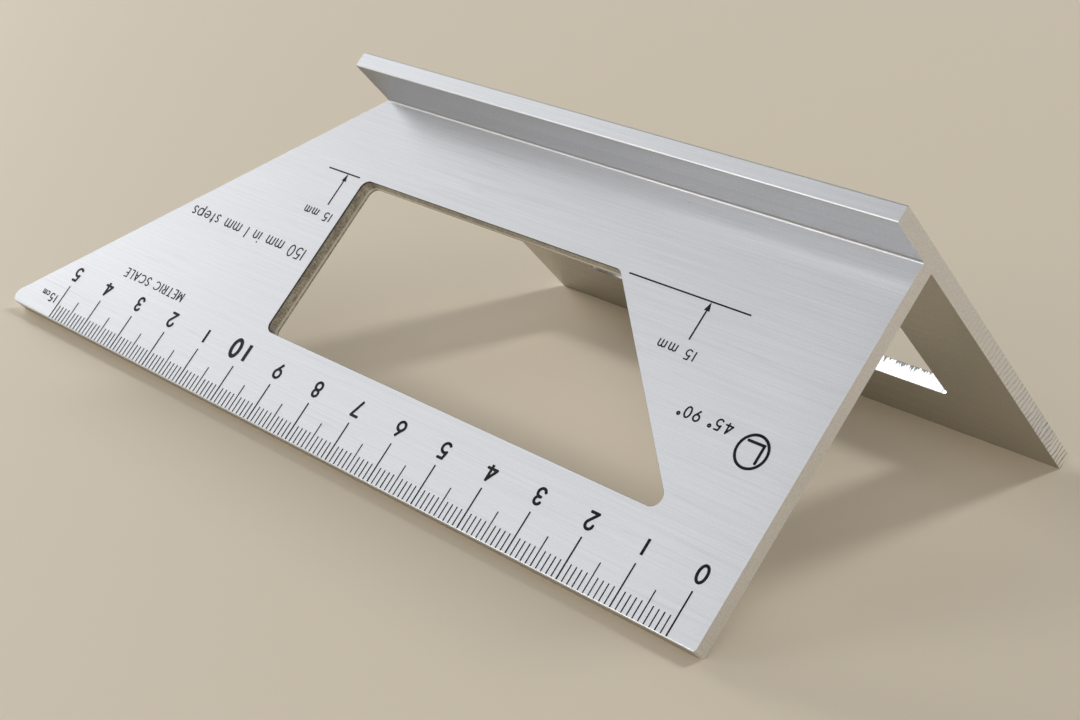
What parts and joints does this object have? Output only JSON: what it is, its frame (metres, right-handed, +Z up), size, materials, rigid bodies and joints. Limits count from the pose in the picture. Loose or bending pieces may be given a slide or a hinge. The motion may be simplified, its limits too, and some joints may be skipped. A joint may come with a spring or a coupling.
{
  "type": "three-way mitre square",
  "caption": "One-piece aluminium marking square: windowed plates at a right angle with a fence, a square end, a 45 degree end and a printed millimetre scale.",
  "frame": {"origin": "centre of the bounding box's underside: on the surface that the tool stands on, under its middle", "axes": "+X along the tool towards its square, zero end; -Y the side that the marked front plate faces; +Z up. Both plates lean at 45 degrees and stand on their inner lower corners."},
  "size_m": [0.1676, 0.0886, 0.0532],
  "materials": {
    "aluminium": "brushed along the length on the marked face and the fence top, fine matt inside, saw-cut ends",
    "ink": "matt black print"
  },
  "bodies": {
    "root": {"mitre_square_body": "aluminium", "scale_marks_cm": "ink", "scale_marks_5mm": "ink", "scale_marks_1mm": "ink", "numeral_00_cm": "ink", "numeral_01_cm": "ink", "numeral_02_cm": "ink", "numeral_03_cm": "ink", "numeral_04_cm": "ink", "numeral_05_cm": "ink", "numeral_06_cm": "ink", "numeral_07_cm": "ink", "numeral_08_cm": "ink", "numeral_09_cm": "ink", "numeral_10_cm": "ink", "numeral_11_cm": "ink", "numeral_12_cm": "ink", "numeral_13_cm": "ink", "numeral_14_cm": "ink", "numeral_15_cm": "ink", "unit_label_15_cm": "ink", "offset_line_high": "ink", "offset_arrow_high": "ink", "offset_label_high": "ink", "offset_line_low": "ink", "offset_arrow_low": "ink", "offset_label_low": "ink", "caption_scale_range": "ink", "caption_metric": "ink", "badge_angle_icon": "ink", "badge_angle_text": "ink"}
  },
  "joints": []
}
